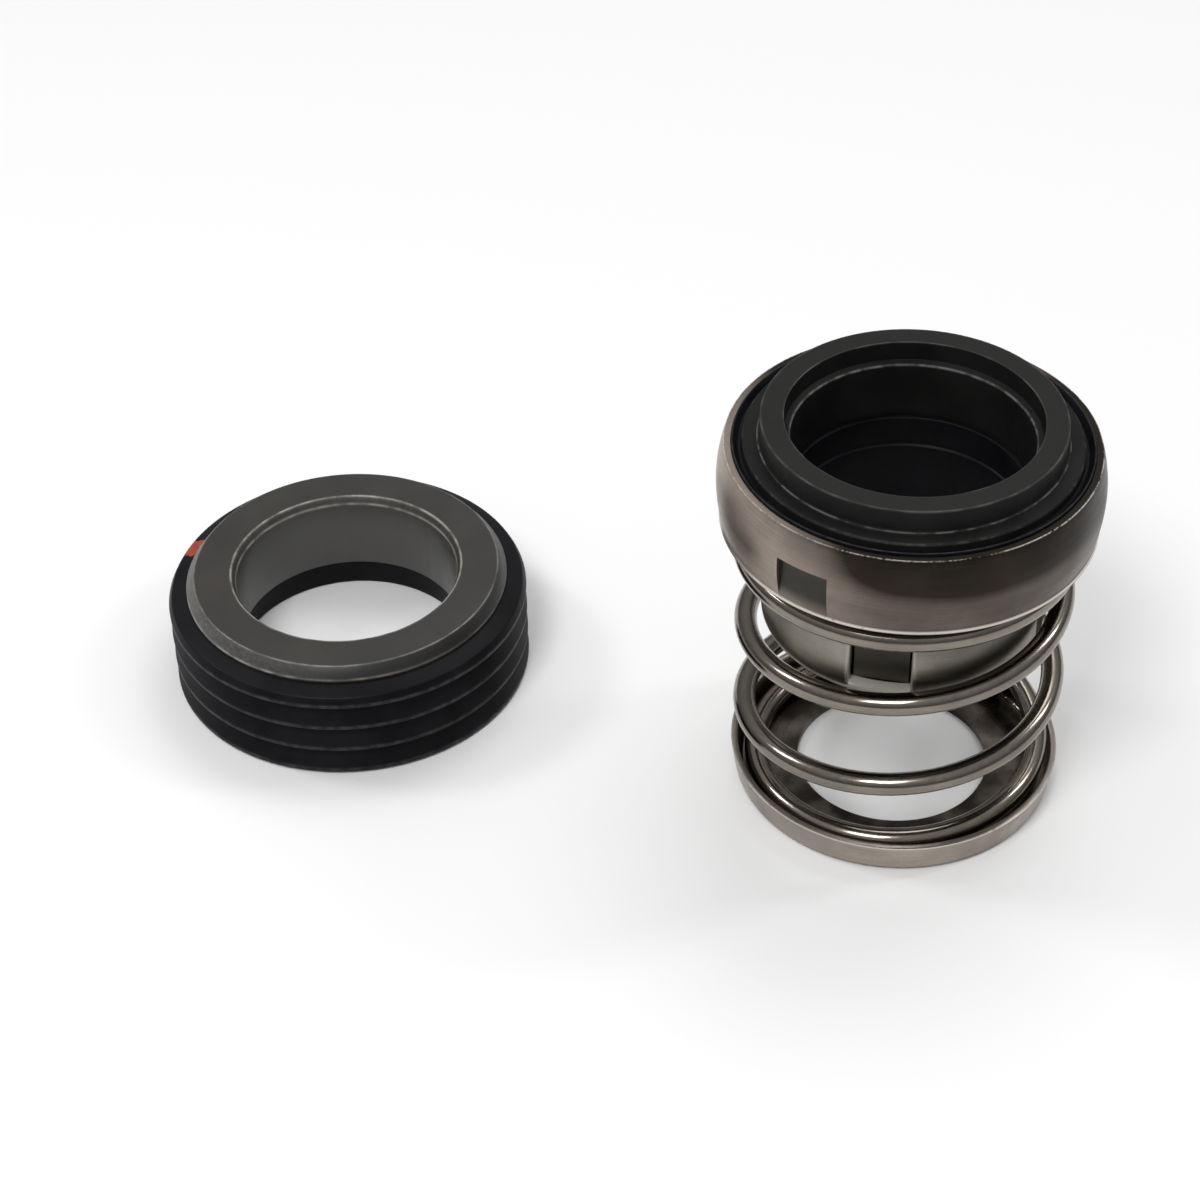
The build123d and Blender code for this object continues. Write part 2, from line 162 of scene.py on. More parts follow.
# ------------------------------------------------------------------ marks, worn spots, and painted light and shade, as directions in degrees
PAINTED_LIT_SIDE_AT = -163.0             # painted light: the retainer's dark layer is left off on this side, so its wall is painted lighter here
THINNED_AT = 75.0              # the dark layer is thinner here
# Painted shade: the retainer's dark layer is heaviest on the side this faces.
PAINTED_SHADE_SIDE_AT = -40.0
# Painted light: the drive band's dark layer is thin on this side.
BAND_PAINTED_LIT_AT = -150.0
SEAT_SCUFFED_AND_LIT_AT = 192.0        # scuffs on the seat's bevel, and painted light there: lighter on this side, painted dark at the front
SEAT_NICKED_AT = 205.0         # nicks along the bevel's foot
PAINT_AT = 167.0
PAINT_HALF_WIDTH = 1.7         # millimetres

# ------------------------------------------------------------------ camera
# Long lens from the front, above and a little to the right.
FOCAL_PX = 2800.0
IMAGE_PX = 1200.0
SENSOR_MM = 36.0
CAMERA_AT = Vector((-7.4, -265.6, 247.5)) * MM
PITCH = math.radians(39.87)
YAW = math.radians(-6.42)
ROLL = math.radians(1.23)


def make_camera():
    """Camera at the photograph's angle: yaw about the upright, then pitch down, then roll."""
    forward = Vector((math.sin(YAW) * math.cos(PITCH), math.cos(YAW) * math.cos(PITCH), -math.sin(PITCH)))
    level = Vector((math.cos(YAW), -math.sin(YAW), 0))
    down = forward.cross(level)
    right = level * math.cos(ROLL) + down * math.sin(ROLL)
    up = level * math.sin(ROLL) - down * math.cos(ROLL)
    data = bpy.data.cameras.new("camera")
    data.sensor_width = SENSOR_MM
    data.lens = FOCAL_PX / IMAGE_PX * SENSOR_MM
    data.clip_start = 0.01
    data.clip_end = 20.0
    camera = bpy.data.objects.new("camera", data)
    bpy.context.scene.collection.objects.link(camera)
    camera.matrix_world = Matrix((
        (right.x, up.x, -forward.x, CAMERA_AT.x),
        (right.y, up.y, -forward.y, CAMERA_AT.y),
        (right.z, up.z, -forward.z, CAMERA_AT.z),
        (0, 0, 0, 1),
    ))
    bpy.context.scene.camera = camera


# ------------------------------------------------------------------ meshes
SHARP_ANGLE = math.radians(40)
ROUNDING_SHARE = 0.45          # most of a straight run that the rounding at one end may take up
SAME_RADIUS = 0.01             # radii closer than this are taken as one


def clamped_share(value, low, high):
    """How far value is from low to high, kept between 0 and 1."""
    return min(max((value - low) / (high - low), 0), 1)


def soft_step(value, low, high):
    """Runs from 0 to 1 between two values, level at both ends."""
    share = clamped_share(value, low, high)
    return share * share * (3 - 2 * share)


def mesh_object(name, points, faces):
    """Smooth-shaded mesh object from points in millimetres. Its sharp edges stay sharp."""
    mesh = bpy.data.meshes.new(name)
    mesh.from_pydata([Vector(p) * MM for p in points], [], faces)
    mesh.validate()
    mesh.shade_smooth()
    mesh.set_sharp_from_angle(angle=SHARP_ANGLE)
    piece = bpy.data.objects.new(name, mesh)
    bpy.context.scene.collection.objects.link(piece)
    return piece


def rounded(profile, steps=5):
    """Points of a closed profile of corners, each given as (radius, height, rounding), as arcs."""
    corners = [Vector((r, z)) for r, z, _ in profile]
    points = []
    for i, corner in enumerate(corners):
        rounding = profile[i][2]
        to_last = corners[i - 1] - corner
        to_next = corners[(i + 1) % len(corners)] - corner
        if rounding <= 0:
            points.append(corner)
            continue
        half_angle = to_last.angle(to_next) / 2
        room = ROUNDING_SHARE * min(to_last.length, to_next.length)
        reach = min(rounding / math.tan(half_angle), room)
        radius = reach * math.tan(half_angle)
        inward = (to_last.normalized() + to_next.normalized()).normalized()
        middle = corner + inward * radius / math.sin(half_angle)
        start = corner + to_last.normalized() * reach - middle
        end = corner + to_next.normalized() * reach - middle
        sweep = start.angle_signed(end)
        for k in range(steps + 1):
            turn = -sweep * k / steps
            points.append(middle + Matrix.Rotation(turn, 2) @ start)
    return points


def divided(points, longest):
    """The same closed profile with its long runs divided."""
    result = []
    for i, start in enumerate(points):
        end = points[(i + 1) % len(points)]
        pieces = max(1, math.ceil((end - start).length / longest))
        result.extend(start.lerp(end, k / pieces) for k in range(pieces))
    return result


def turned(name, profile, axis=(0, 0), steps=288, longest=1.2, reshape=None):
    """Ring made by turning a closed profile about an upright axis. reshape may change a point's radius."""
    ring = divided(rounded(profile), longest)
    count = len(ring)
    points = []
    for i in range(steps):
        angle = 2 * math.pi * i / steps
        for point in ring:
            radius = reshape(angle, point.x, point.y) if reshape else point.x
            x = axis[0] + radius * math.cos(angle)
            y = axis[1] + radius * math.sin(angle)
            points.append((x, y, point.y))
    faces = []
    for i in range(steps):
        here = i * count
        there = (i + 1) % steps * count
        for k in range(count):
            after = (k + 1) % count
            faces.append((here + k, there + k, there + after, here + after))
    return mesh_object(name, points, faces)


# ------------------------------------------------------------------ spring
SECTIONS_PER_TURN = 90
SECTION_POINTS = 24
SETTLED = 0.6                  # share of each blend over which the wire still moves with its end coil
TANGENT_STEP = 0.002           # turns to each side, for the wire's direction


def soft_ramp(turn, blend):
    """Turns climbed: none before turn 0 and one for one after it, with a rounded corner."""
    if turn <= -blend:
        return 0
    if turn >= blend:
        return turn
    return (turn + blend) ** 2 / (4 * blend)


def climb(turn):
    """Turns' worth of height that the wire has gained."""
    return soft_ramp(turn, FIRST_BLEND) - soft_ramp(turn - ACTIVE_TURNS, LAST_BLEND)


def coil_point(turn):
    """Point on the spring's centre line, as in the solid."""
    radius = FIRST_COIL_R + FIRST_COIL_INSET * soft_step(turn, *FIRST_GROWTH)
    radius += LAST_COIL_SWELL * soft_step(turn, *LAST_GROWTH)
    angle = math.radians(COIL_LEAVES_AT + 360 * turn)
    height = SHEET + WIRE_R + COIL_PITCH * climb(turn)
    return Vector((radius * math.cos(angle), radius * math.sin(angle), height))


def wire_sections():
    """Turn and radius of each section of the wire, narrowed at both ends where its edges are broken."""
    total = 2 * DEAD_TURNS + ACTIVE_TURNS
    count = round(total * SECTIONS_PER_TURN)
    edge = WIRE_END_ROUND / (2 * math.pi * FIRST_COIL_R)
    turns = [total * i / count - DEAD_TURNS for i in range(count + 1)]
    turns = [turns[0], turns[0] + edge] + turns[1:-1] + [turns[-1] - edge, turns[-1]]
    radii = [WIRE_R] * len(turns)
    radii[0] = radii[-1] = WIRE_R - WIRE_END_ROUND
    return list(zip(turns, radii))


def make_spring():
    """Round wire with slightly broken end edges. How far each section would move as the coils close is
    worked out, but not used.
    """
    sections = wire_sections()
    closed_low = climb(FIRST_BLEND * SETTLED)
    closed_high = climb(ACTIVE_TURNS - LAST_BLEND * SETTLED)
    points, shares = [], []
    for turn, radius in sections:
        here = coil_point(turn)
        along = (coil_point(turn + TANGENT_STEP) - coil_point(turn - TANGENT_STEP)).normalized()
        outward = Vector((here.x, here.y, 0)).normalized()
        outward = (outward - along * outward.dot(along)).normalized()
        upward = along.cross(outward)
        for k in range(SECTION_POINTS):
            angle = 2 * math.pi * k / SECTION_POINTS
            points.append(here + (outward * math.cos(angle) + upward * math.sin(angle)) * radius)
            shares.append(clamped_share(climb(turn), closed_low, closed_high))
    faces = []
    for i in range(len(sections) - 1):
        here = i * SECTION_POINTS
        there = here + SECTION_POINTS
        for k in range(SECTION_POINTS):
            after = (k + 1) % SECTION_POINTS
            faces.append((here + k, here + after, there + after, there + k))
    last = (len(sections) - 1) * SECTION_POINTS
    faces.append(tuple(reversed(range(SECTION_POINTS))))
    faces.append(tuple(last + k for k in range(SECTION_POINTS)))
    spring = mesh_object("coil_spring", points, faces)
    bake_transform(spring)
    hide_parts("spring")
    return spring


# ------------------------------------------------------------------ bellows
def near_dent(angle, margin):
    """Whether an angle lies behind one of the retainer's dents, with a margin in degrees on each side."""
    half = math.degrees(DENT_WIDTH / 2 / WAIST_R) + margin
    degrees = math.degrees(angle)
    return any(abs((degrees - dent + 180) % 360 - 180) <= half for dent in DENT_ANGLES)


def bellows_radius(angle, radius, height):
    """Clears the back of each dent, and brings the rubber key out of the head's pocket there."""
    if FLANGE_TOP_Z < height <= KEY_TOP_Z and near_dent(angle, ROOM_MARGIN):
        radius = min(radius, KEY_FACE_R)
    on_pocket_wall = RING_Z <= height <= KEY_TOP_Z and abs(radius - POCKET_R) < SAME_RADIUS
    if on_pocket_wall and near_dent(angle, KEY_MARGIN):
        radius = KEY_BACK_R
    return radius


def make_bellows():
    """Moulded rubber bellows: its grip on the shaft, the thin neck, and the head round the carbon ring."""
    head_foot_z = FLANGE_TOP_Z + RUBBER_GAP
    waist_r = WALL_R - 0.08
    belly_r = WALL_R + 0.1
    shoulder_r = WALL_R - 0.24
    lip_r = WALL_R - 0.68
    profile = [
        (SHAFT_R, TAIL_END_Z, 0.3),
        (SPIGOT_R, TAIL_END_Z, 0.35),
        (SPIGOT_R, SPIGOT_TOP_Z, 0.1),
        (TAIL_R, SPIGOT_TOP_Z, 0.3),
        (TAIL_R, head_foot_z, 0),
        (FLAT_R, head_foot_z, 0.3),
        (waist_r, WAIST_Z, 0.6),
        (belly_r, BELLY_Z, 0),
        (belly_r, KEY_TOP_Z, 0),
        (belly_r, KEY_TOP_Z + KEY_STEP, 0.3),
        (shoulder_r, SHOULDER_Z, 0.5),
        (lip_r, RIM_Z, 0),
        (lip_r, LIP_Z - 0.1, 0.12),
        (lip_r - 0.17, LIP_Z, 0.12),
        (POCKET_R + LIP_GROOVE_FLOOR, LIP_Z - LIP_GROOVE, 0.25),
        (POCKET_R, LIP_Z - LIP_GROOVE, 0),
        (POCKET_R, KEY_TOP_Z + KEY_STEP, 0),
        (POCKET_R, KEY_TOP_Z, 0),
        (POCKET_R, RING_Z, 0),
        (HEAD_BORE_R, RING_Z, 0.2),
        (HEAD_BORE_R, NECK_TOP_Z + 0.2, 0.1),
        (NECK_R, NECK_TOP_Z, 0.15),
        (NECK_R, NECK_Z, 0.5),
        (SHAFT_R, GRIP_TOP_Z, 0.4),
    ]
    bellows = turned("rubber_bellows", profile, reshape=bellows_radius)
    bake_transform(bellows)
    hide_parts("bellows")
    return bellows


# ------------------------------------------------------------------ seat boot
def make_boot():
    """Moulded rubber cup round the seat ring, with ribs that are undercut below."""
    profile = [
        (BOOT_HOLE_R, 0, 0.35),
        (BOOT_HOLE_R, BOOT_FLOOR, 0),
        (SEAT_BODY_R, BOOT_FLOOR, 0),
        (SEAT_BODY_R, BOOT_TOP_Z, 0),
        (SEAT_RIM_R + RUBBER_GAP, BOOT_TOP_Z, 0.1),
        (COLLAR_R, COLLAR_Z, 0.45),
    ]
    for i in range(RIB_COUNT):
        rib_z = FIRST_RIB_Z - RIB_PITCH * i
        profile.append((RIB_R, rib_z, 0.2))
        profile.append((RIB_R, rib_z - RIB_LAND, 0.2))
        if i < RIB_COUNT - 1:
            profile.append((GROOVE_R, rib_z - RIB_LAND - RIB_UNDERCUT, 0.25))
    profile.append((RIB_R - BOOT_FOOT_INSET, 0, 0.2))
    boot = turned("ribbed_boot", list(reversed(profile)), axis=SEAT_AXIS)
    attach(boot, "base")
    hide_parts("seat_boot")
    return boot


# ------------------------------------------------------------------ colours
# The spring holder's steel is made lighter, as painted light against the shade near the floor.
LIT_HOLDER_STEEL = (0.36, 0.315, 0.275)
BAND_STEEL = (0.28, 0.26, 0.222)
RETAINER_STEEL = (0.35, 0.292, 0.25)
WIRE_STEEL = (0.23, 0.205, 0.175)
WORN_AND_HIGHLIGHT = (0.72, 0.67, 0.61)      # steel worn bright, also used as painted highlight along edges
FILM_AND_SHADE = (0.03, 0.0245, 0.0205)  # Film colour, dark brown, also used as painted shade
DULL_AND_SHADED = (0.052, 0.05, 0.044)    # unbrushed steel in the dents and tabs, dark enough to be painted shade too
SHEARED_AND_LIT = (0.74, 0.7, 0.62)    # rough sheared edges, light enough to serve as painted light on the shaded sill

RUBBER = (0.0038, 0.004, 0.0052)
BLOOMED_RUBBER = (0.0078, 0.008, 0.0102)
DUST = (0.09, 0.085, 0.08)
# rubber worn lighter at its edges, and painted highlight
RUBBED_AND_HIGHLIGHT_RUBBER = (0.034, 0.034, 0.037)
ORANGE_PAINT = (0.34, 0.07, 0.032)
RED_PAINT = (0.29, 0.045, 0.055)

CARBON = (0.007, 0.007, 0.0068)
CLOUDY_CARBON = (0.0115, 0.0115, 0.011)
GRAINY_CARBON = (0.024, 0.024, 0.023)
LAPPED_CARBON = (0.017, 0.017, 0.016)
# chipped carbon, also used as painted highlight along edges
CHIPPED_AND_HIGHLIGHT_CARBON = (0.2, 0.195, 0.187)

DARK_SEAT = (0.019, 0.0158, 0.013)
CLOUDY_SEAT = (0.027, 0.0226, 0.0186)
DULL_BORE = (0.06, 0.058, 0.054)
# Seat bevel: dark as painted shade at the front, lighter with scuffs and painted light on one side.
SHADED_BEVEL = (0.006, 0.0052, 0.0044)
SCUFFED_AND_LIT_BEVEL = (0.19, 0.184, 0.172)
# Ground chamfer finish, also a painted sheen.
GROUND_AND_SHEEN_CHAMFER = (0.24, 0.23, 0.21)
# Nicks on the seat's edges, also painted highlights along its bore.
NICKED_AND_HIGHLIGHT_SEAT = (0.33, 0.315, 0.285)

# ------------------------------------------------------------------ materials
STREAK_R = 20.0                # radius at which turned marks have their stated length


class Look:
    """One procedural material, with short names for its nodes.

    Its lengths are in millimetres, and its x, y and radius are taken from the piece's upright axis.
    """

    def __init__(self, name, axis=(0, 0)):
        self.material = bpy.data.materials.new(name)
        self.material.use_nodes = True
        self.tree = self.material.node_tree
        self.shader = self.tree.nodes["Principled BSDF"]
        place = self.node("ShaderNodeSeparateXYZ")
        self.tree.links.new(self.node("ShaderNodeTexCoord").outputs["Object"], place.inputs[0])
        self.x = self.math("MULTIPLY_ADD", place.outputs[0], 1 / MM, -axis[0])
        self.y = self.math("MULTIPLY_ADD", place.outputs[1], 1 / MM, -axis[1])
        self.height = self.math("MULTIPLY", place.outputs[2], 1 / MM)
        self.radius = self.math("SQRT", self.plus(self.product(self.x, self.x), self.y, self.y))

    def node(self, kind):
        return self.tree.nodes.new(kind)

    def put(self, socket, value):
        """Links an output to a socket, or sets the socket to a number or colour."""
        if isinstance(value, bpy.types.NodeSocket):
            self.tree.links.new(value, socket)
        elif isinstance(value, tuple):
            wants_alpha = len(value) == 3 and len(socket.default_value) == 4
            socket.default_value = (*value, 1) if wants_alpha else value
        else:
            socket.default_value = value

    def math(self, operation, a, b=0.0, c=0.0):
        """Result of one maths node."""
        node = self.node("ShaderNodeMath")
        node.operation = operation
        for socket, value in zip(node.inputs, (a, b, c)):
            self.put(socket, value)
        return node.outputs[0]

    def product(self, *values):
        result = values[0]
        for value in values[1:]:
            result = self.math("MULTIPLY", result, value)
        return result

    def most(self, *values):
        """Highest of the values."""
        result = values[0]
        for value in values[1:]:
            result = self.math("MAXIMUM", result, value)
        return result

    def plus(self, value, other, factor=1.0):
        """A value, plus another times a factor."""
        return self.math("MULTIPLY_ADD", other, factor, value)

    def swing(self, value, noise, amount):
        """A value moved up and down by noise, over a range of amount in all."""
        return self.plus(value, self.math("SUBTRACT", noise, 0.5), amount)

    def ease(self, value, low, high, start=0.0, end=1.0):
        """Runs from start to end while value goes from low to high, level at both ends."""
        node = self.node("ShaderNodeMapRange")
        node.interpolation_type = "SMOOTHSTEP"
        for socket, number in zip(node.inputs, (value, low, high, start, end)):
            self.put(socket, number)
        return node.outputs[0]

    def near(self, value, centre, reach):
        """1 where value is at centre, and 0 from reach away."""
        distance = self.math("ABSOLUTE", self.math("SUBTRACT", value, centre))
        return self.ease(distance, 0.0, reach, 1.0, 0.0)

    def near_line(self, radius, height, reach):
        """1 on the circle at a radius and a height, and 0 from reach away. No height means every height."""
        along = self.near(self.radius, radius, reach)
        if height is None:
            return along
        return self.product(along, self.near(self.height, height, reach))

    def turn_from(self, degrees):
        """Angle round the axis from a direction."""
        return self.math("SUBTRACT", self.math("ARCTAN2", self.y, self.x), math.radians(degrees))

    def round_distance(self, degrees, count):
        """Distance round the axis from the nearest of count evenly spread directions."""
        return self.product(self.radius, self.math("PINGPONG", self.turn_from(degrees), math.pi / count))

    def facing(self, degrees):
        """Cosine of the angle between a point's direction from the axis and the given one."""
        return self.math("COSINE", self.turn_from(degrees))

    def noise(self, size, detail=3.0, roughness=0.5, seed=0.0):
        """Even noise whose blobs are about size across."""
        return self.texture((self.x, self.y, self.height), size, detail, roughness, seed)

    def turned_noise(self, along, across, detail=3.0, roughness=0.5, seed=0.0):
        """Noise in streaks round the axis, such as tool marks, each about along long and across wide."""
        spin = self.math("DIVIDE", self.product(self.radius, along / across), STREAK_R)
        x = self.math("DIVIDE", self.x, spin)
        y = self.math("DIVIDE", self.y, spin)
        place = (x, y, self.plus(self.height, self.radius))
        return self.texture(place, across, detail, roughness, seed)

    def texture(self, place, size, detail, roughness, seed):
        """Noise at a place that is given by three outputs."""
        vector = self.node("ShaderNodeCombineXYZ")
        for socket, value in zip(vector.inputs, place):
            self.put(socket, value)
        node = self.node("ShaderNodeTexNoise")
        node.noise_dimensions = "4D"
        self.put(node.inputs["Vector"], vector.outputs[0])
        self.put(node.inputs["W"], seed)
        self.put(node.inputs["Scale"], 1 / size)
        self.put(node.inputs["Detail"], detail)
        self.put(node.inputs["Roughness"], roughness)
        return node.outputs[0]

    def worn_and_highlit_edge(self, radius, height, reach, size, seed, span, wear_and_highlight, roughness=0.5):
        """Uneven brightening along one edge, for chipping and for painted highlights: where noise goes
        through span, the brightening goes through its own range.
        """
        noise = self.noise(size, roughness=roughness, seed=seed)
        return self.product(self.near_line(radius, height, reach), self.ease(noise, *span, *wear_and_highlight))

    def times(self, color, factor):
        """A colour made lighter or darker by a factor."""
        node = self.node("ShaderNodeVectorMath")
        node.operation = "SCALE"
        self.put(node.inputs[0], color)
        self.put(node.inputs["Scale"], factor)
        return node.outputs[0]

    def mix(self, share, a, b):
        """Colour a, going over to b by share."""
        node = self.node("ShaderNodeMix")
        node.data_type = "RGBA"
        self.put(node.inputs[0], share)
        self.put(node.inputs[6], a)
        self.put(node.inputs[7], b)
        return node.outputs[2]

    def bump(self, height, depth, under=None):
        """Surface relief of a depth in millimetres, on top of the relief under it."""
        node = self.node("ShaderNodeBump")
        self.put(node.inputs["Height"], height)
        node.inputs["Strength"].default_value = 1.0
        node.inputs["Distance"].default_value = depth * MM
        if under is not None:
            self.put(node.inputs["Normal"], under)
        return node.outputs[0]

    def finish(self, **inputs):
        """Sets the shader's inputs, and returns the material."""
        names = {
            "color": "Base Color",
            "roughness": "Roughness",
            "metallic": "Metallic",
            "normal": "Normal",
            "specular": "Specular IOR Level",
            "ior": "IOR",
        }
        for name, value in inputs.items():
            self.put(self.shader.inputs[names[name]], value)
        return self.material


def steel(name, color, roughness, edges=(), film_and_shade=None, patch_and_shade=None, cut_and_light=None):
    """Brushed steel with marks round its axis, smudges, and edges worn bright or given a painted highlight.

    Each edge is (radius, height, reach, level of the noise above which it is brightened). film is where a
    dark brown layer lies, partly real and partly painted shade; patch where the brushing misses, darkened
    further as painted shade; and cut where a rough sheared face shows, made lighter as painted light: each
    makes its mask from the look.
    """
    look = Look(name)
    fine = look.turned_noise(along=9.0, across=0.09, roughness=0.6)
    broad = look.turned_noise(along=30.0, across=0.7, detail=2.0, seed=4.0)
    smudge = look.noise(7.0, detail=4.0, roughness=0.6, seed=9.0)
    if film_and_shade:
        color = look.mix(film_and_shade(look), color, FILM_AND_SHADE)
    shade = look.times(color, look.swing(look.ease(smudge, 0.3, 0.7, 0.86, 1.12), fine, 0.7))
    rough = look.swing(look.ease(smudge, 0.35, 0.7, roughness + 0.05, roughness - 0.04), broad, 0.16)
    metallic = 1.0
    if patch_and_shade:
        mask = patch_and_shade(look)
        shade = look.mix(mask, shade, DULL_AND_SHADED)
        rough = look.plus(rough, mask, 0.1)
    if cut_and_light:
        mask = cut_and_light(look)
        shade = look.mix(mask, shade, SHEARED_AND_LIT)
        rough = look.plus(rough, mask, 0.15)
        metallic = look.plus(1.0, mask, -0.6)
    if edges:
        chips = look.product(look.noise(0.35, roughness=0.7, seed=2.0), 0.5)
        chips = look.plus(chips, look.noise(2.6, seed=6.0), 0.6)
        # Edges worn bright, and painted highlights, as each piece lists them.
        wear_and_highlight = look.most(*(
            look.product(look.near_line(radius, height, reach), look.ease(chips, level, level + 0.14))
            for radius, height, reach, level in edges
        ))
        shade = look.mix(wear_and_highlight, shade, WORN_AND_HIGHLIGHT)
        rough = look.plus(rough, wear_and_highlight, -0.08)
    relief = look.bump(fine, 0.004)
    relief = look.bump(smudge, 0.02, under=relief)
    return look.finish(color=shade, roughness=rough, metallic=metallic, normal=relief)


def retainer_film_and_shade(look):
    """Film all round; painted shade under the rim and on one side, painted light where it is left off, and
    thinned on another.
    """
    # Painted light: the retainer is left light on one side.
    painted_light = look.ease(look.facing(PAINTED_LIT_SIDE_AT), 0.35, 0.97)
    thinned = look.ease(look.facing(THINNED_AT), 0.7, 0.98, 0.0, 0.6)
    cloud = look.ease(look.turned_noise(along=40.0, across=6.0, detail=2.0, seed=12.0), 0.3, 0.7, 0.75, 1.0)
    body = look.product(look.plus(1.0, look.most(painted_light, thinned), -0.95), cloud)
    ragged = look.turned_noise(along=34.0, across=3.0, detail=2.0, seed=15.0)
    # Painted shade: a ragged dark band under the rim, and a darker side.
    shade_under_rim = look.ease(look.plus(look.height, ragged), RIM_Z - 5.8, RIM_Z + 0.8, 0.0, 0.8)
    painted_side_shade = look.ease(look.facing(PAINTED_SHADE_SIDE_AT), 0.35, 0.95, 0.82, 0.96)
    return look.product(body, look.plus(painted_side_shade, shade_under_rim))


def holder_floor_shade_and_traces(look):
    """Painted shade on the spring holder's floor inside its wall, where the coils shade it, and traces on
    the wall.
    """
    # Painted shade on the floor inside the wall.
    low = look.ease(look.height, SHEET + 0.05, SHEET + 1.1, 1.0, 0.0)
    inside = look.ease(look.radius, HOLDER_R - 1.7, HOLDER_R - 0.8, 1.0, 0.0)
    cloud = look.ease(look.noise(6.0, seed=18.0), 0.32, 0.62, 0.55, 0.97)
    traces = look.ease(look.noise(11.0, seed=25.0), 0.45, 0.7, 0.0, 0.35)
    return look.most(look.product(low, inside, cloud), traces)


def dent_dull_and_shade(look):
    """The retainer's dents and tabs, which the brushing misses, darkened further as painted shade."""
    from_dent = look.round_distance(DENT_ANGLES[0], len(DENT_ANGLES))
    across = look.ease(from_dent, DENT_WIDTH / 2 - 0.1, DENT_WIDTH / 2 + 0.05, 1.0, 0.0)
    # Painted shade: each dent darker up from its foot.
    foot = look.ease(look.height, DENT_FOOT_Z - 0.3, DENT_FOOT_Z + 1.9, 0.35, 1.0)
    head = look.ease(look.height, DENT_HEAD_Z - 0.05, DENT_HEAD_Z + 0.1, 1.0, 0.0)
    in_wall = look.ease(look.radius, WALL_R - 1.0, WALL_R - 0.8)
    # Painted shade on the tabs down in the band's slots.
    tabs = look.ease(look.height, FLANGE_Z - 1.2, FLANGE_Z - 0.4, 0.9, 0.0)
    return look.most(look.product(across, foot, head, in_wall), tabs)


def slot_faces_and_highlight(look):
    """Sheared edges of the drive band's slots, made lighter as painted light, and a painted highlight along
    its bottom bend.
    """
    from_slot = look.round_distance(TAB_ANGLE, TAB_COUNT)
    half = SLOT_WIDTH / 2
    above_sill = look.ease(look.height, SILL_Z - 0.4, SILL_Z, 0.0, 0.3)
    flank = look.product(look.near(from_slot, half + 0.2, 0.5), above_sill)
    in_slot = look.ease(from_slot, half, half + 0.3, 1.0, 0.0)
    sill = look.product(in_slot, look.near(look.height, SILL_Z - 0.15, 0.7))
    # Painted highlight along the bottom bend, broken up by noise.
    painted_light = look.ease(look.noise(4.0, seed=3.0), 0.4, 0.6, 0.15, 0.55)
    bend = look.product(look.near(look.height, BAND_BEND_Z, 0.35), painted_light)
    outside = look.ease(look.radius, BAND_INNER_R, BAND_INNER_R + 0.2)
    return look.product(look.most(flank, sill, bend), outside)


def band_film_and_light(look):
    """Film on the drive band, left thin on one side as painted light."""
    cloud = look.ease(look.noise(10.0, detail=2.0, seed=21.0), 0.25, 0.75, 0.15, 0.6)
    # Painted light: lighter on one side.
    painted_light = look.ease(look.facing(BAND_PAINTED_LIT_AT), 0.4, 0.95)
    return look.product(cloud, look.plus(1.0, painted_light, -0.8))


def paint_mark(look):
    """Where a dab of paint lies on the boot's collar."""
    ragged = look.noise(1.1, seed=31.0)
    across = look.swing(look.round_distance(PAINT_AT, 1), ragged, 1.6)
    sides = look.ease(across, PAINT_HALF_WIDTH - 0.1, PAINT_HALF_WIDTH + 0.1, 1.0, 0.0)
    out = look.swing(look.radius, ragged, 0.5)
    beyond_ring = look.ease(out, SEAT_RIM_R + 0.15, SEAT_RIM_R + 0.3)
    within_collar = look.ease(out, COLLAR_R, COLLAR_R + 0.15, 1.0, 0.0)
    on_top = look.ease(look.height, COLLAR_Z - 0.6, COLLAR_Z - 0.5)
    return look.product(sides, beyond_ring, within_collar, on_top)


def rubber(name, axis=(0, 0), edges=(), paint=None):
    """Moulded black rubber: satin, with a faint bloom, dust specks, and fine edges lighter from both rubbing
    and painted highlights.
    """
    look = Look(name, axis)
    grain = look.noise(0.12, detail=4.0, roughness=0.6)
    bloom = look.noise(5.0, seed=3.0)
    flow = look.turned_noise(along=14.0, across=0.5, seed=5.0)
    speck = look.noise(0.5, detail=1.0, seed=8.0)
    shade = look.mix(look.ease(bloom, 0.35, 0.7), RUBBER, BLOOMED_RUBBER)
    shade = look.mix(look.ease(speck, 0.78, 0.84, 0.0, 0.5), shade, DUST)
    rough = look.swing(look.ease(bloom, 0.3, 0.7, 0.38, 0.5), flow, 0.25)
    if edges:
        # Edges lighter from rubbing, with painted highlights.
        wear_and_highlight = look.most(*(look.near_line(*edge) for edge in edges))
        wear_and_highlight = look.product(wear_and_highlight, look.ease(look.noise(1.3, seed=1.0), 0.35, 0.65, 0.2, 1.0))
        shade = look.mix(wear_and_highlight, shade, RUBBED_AND_HIGHLIGHT_RUBBER)
    if paint:
        mask = paint(look)
        patchy = look.ease(look.noise(0.9, seed=33.0), 0.4, 0.6)
        shade = look.mix(mask, shade, look.mix(patchy, ORANGE_PAINT, RED_PAINT))
        grain = look.plus(grain, mask, 4.0)
    relief = look.bump(grain, 0.01)
    relief = look.bump(flow, 0.015, under=relief)
    return look.finish(color=shade, roughness=rough, normal=relief, specular=0.11)


